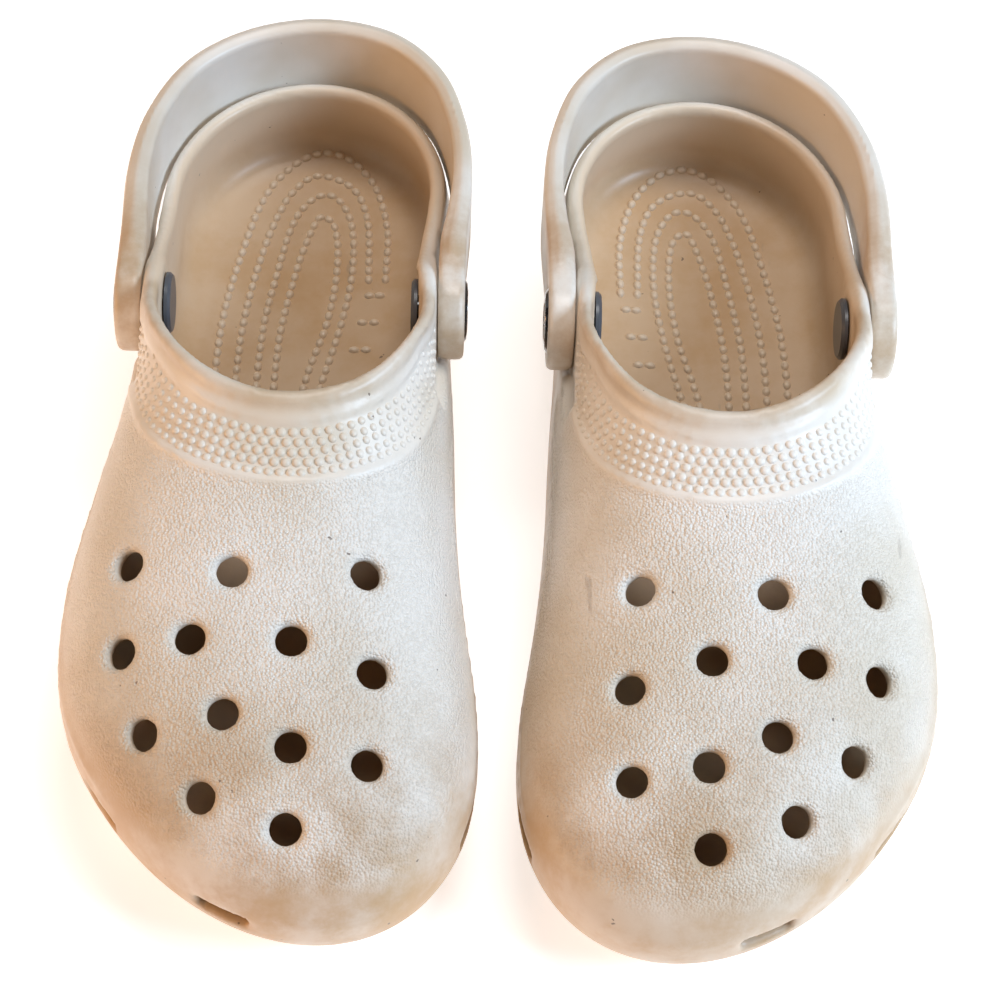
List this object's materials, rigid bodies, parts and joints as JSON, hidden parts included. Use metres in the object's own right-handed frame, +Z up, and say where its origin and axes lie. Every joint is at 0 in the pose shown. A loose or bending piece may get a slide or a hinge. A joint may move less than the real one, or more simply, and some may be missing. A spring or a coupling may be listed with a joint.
{
  "type": "garden clog pair",
  "caption": "Pair of moulded foam garden clogs with vent holes over the toes, a hollow for the foot and a heel strap that swings on two rivets.",
  "frame": {"origin": "on the ground under the middle of the pair", "axes": "+Z up, toes along -Y, heels along +Y, the wearer's right clog at -X"},
  "size_m": [0.2326, 0.2725, 0.0892],
  "materials": {
    "foam": "satin moulded foam",
    "strap_foam": "satin moulded foam",
    "cap_plastic": "glossy",
    "badge_metal": "bright",
    "stud_plastic": "matte"
  },
  "bodies": {
    "right_clog": {"right_clog_body": "foam"},
    "right_strap": {"right_heel_strap": "strap_foam", "right_medial_rivet_cap": "cap_plastic", "right_medial_rivet_badge": "badge_metal", "right_medial_rivet_stud": "stud_plastic", "right_lateral_rivet_cap": "cap_plastic", "right_lateral_rivet_badge": "badge_metal", "right_lateral_rivet_stud": "stud_plastic"},
    "left_clog": {"left_clog_body": "foam"},
    "left_strap": {"left_heel_strap": "strap_foam", "left_medial_rivet_cap": "cap_plastic", "left_medial_rivet_badge": "badge_metal", "left_medial_rivet_stud": "stud_plastic", "left_lateral_rivet_cap": "cap_plastic", "left_lateral_rivet_badge": "badge_metal", "left_lateral_rivet_stud": "stud_plastic"}
  },
  "joints": [
    {"name": "right_strap_swing", "type": "hinge", "parent": "right_clog", "child": "right_strap", "pos_m": [-0.0589, 0.0376, 0.064], "axis": [1, 0, 0], "range_deg": [0, 138]},
    {"name": "left_clog_lift", "type": "slide", "parent": "right_clog", "child": "left_clog", "axis": [0, 0, 1], "range_m": [0, 0.2]},
    {"name": "left_strap_swing", "type": "hinge", "parent": "left_clog", "child": "left_strap", "pos_m": [0.0589, 0.0348, 0.064], "axis": [1, 0, 0], "range_deg": [0, 138]}
  ]
}
